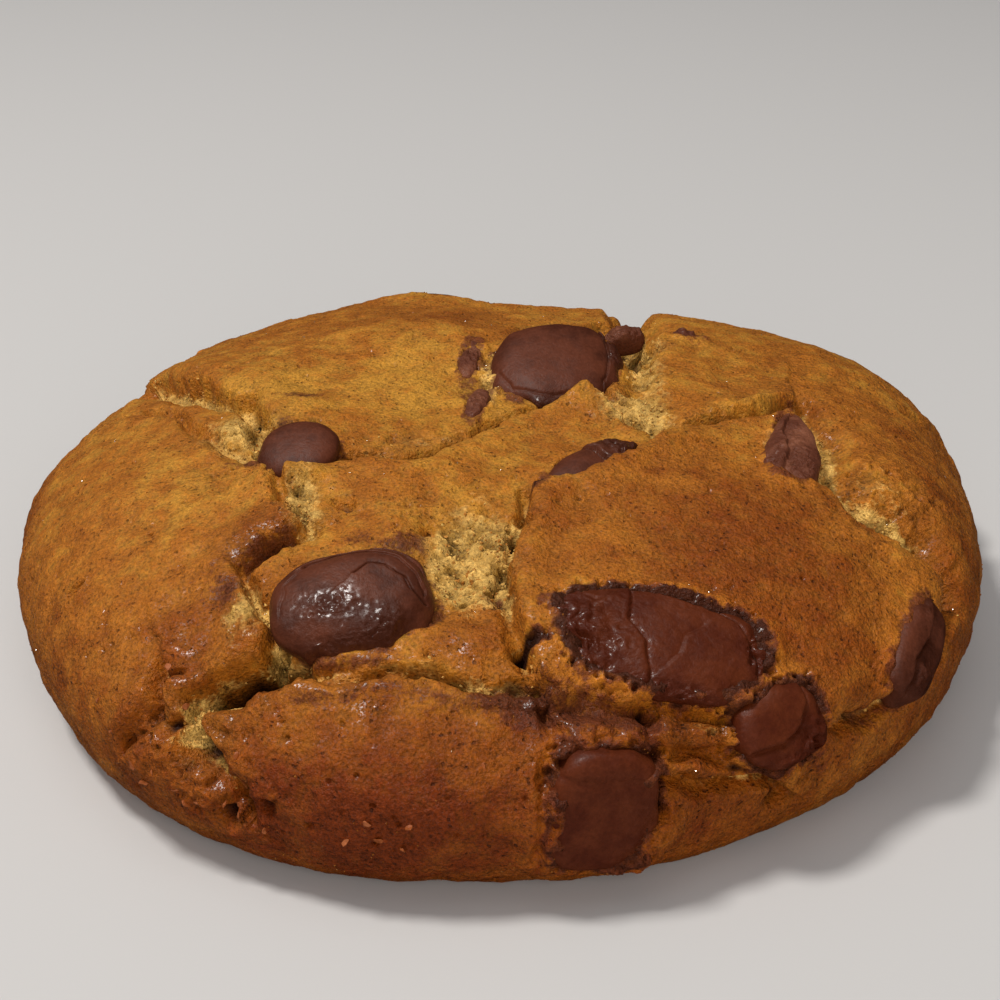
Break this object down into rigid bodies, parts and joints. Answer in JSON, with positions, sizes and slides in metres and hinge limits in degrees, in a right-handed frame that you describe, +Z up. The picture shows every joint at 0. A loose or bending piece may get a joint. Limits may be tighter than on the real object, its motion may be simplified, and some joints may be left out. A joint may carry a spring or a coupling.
{
  "type": "chocolate chip cookie",
  "caption": "Thick round chocolate chip cookie with a cracked, unevenly browned crust and chocolate discs and chunks set in it, lying on its flat underside.",
  "frame": {"origin": "the middle of the cookie's plan, on the flat underside it rests on", "axes": "+Z up out of the domed top, +X to the right and +Y away from the viewer when the side with the melted chocolate is in front"},
  "size_m": [0.1012, 0.099, 0.0274],
  "materials": {
    "baked_crust": "matte, porous baked crust, golden to deep brown, with paler crumb in the cracks",
    "chocolate": "satin dark chocolate, glossier where it has melted"
  },
  "bodies": {
    "root": {"dough": "baked_crust", "disc_front_right": "chocolate", "disc_front_left": "chocolate", "disc_back": "chocolate", "disc_left": "chocolate", "disc_middle": "chocolate", "disc_rear": "chocolate", "disc_rear_left": "chocolate", "disc_rear_right": "chocolate", "chunk_front_flank": "chocolate", "chunk_front_right": "chocolate", "chunk_right_flank": "chocolate", "chunk_right": "chocolate", "chunk_rear_flank": "chocolate", "chunk_left_flank": "chocolate", "bit_notch_left": "chocolate", "bit_notch_right": "chocolate", "sliver_back": "chocolate", "sliver_ridge": "chocolate"}
  },
  "joints": []
}
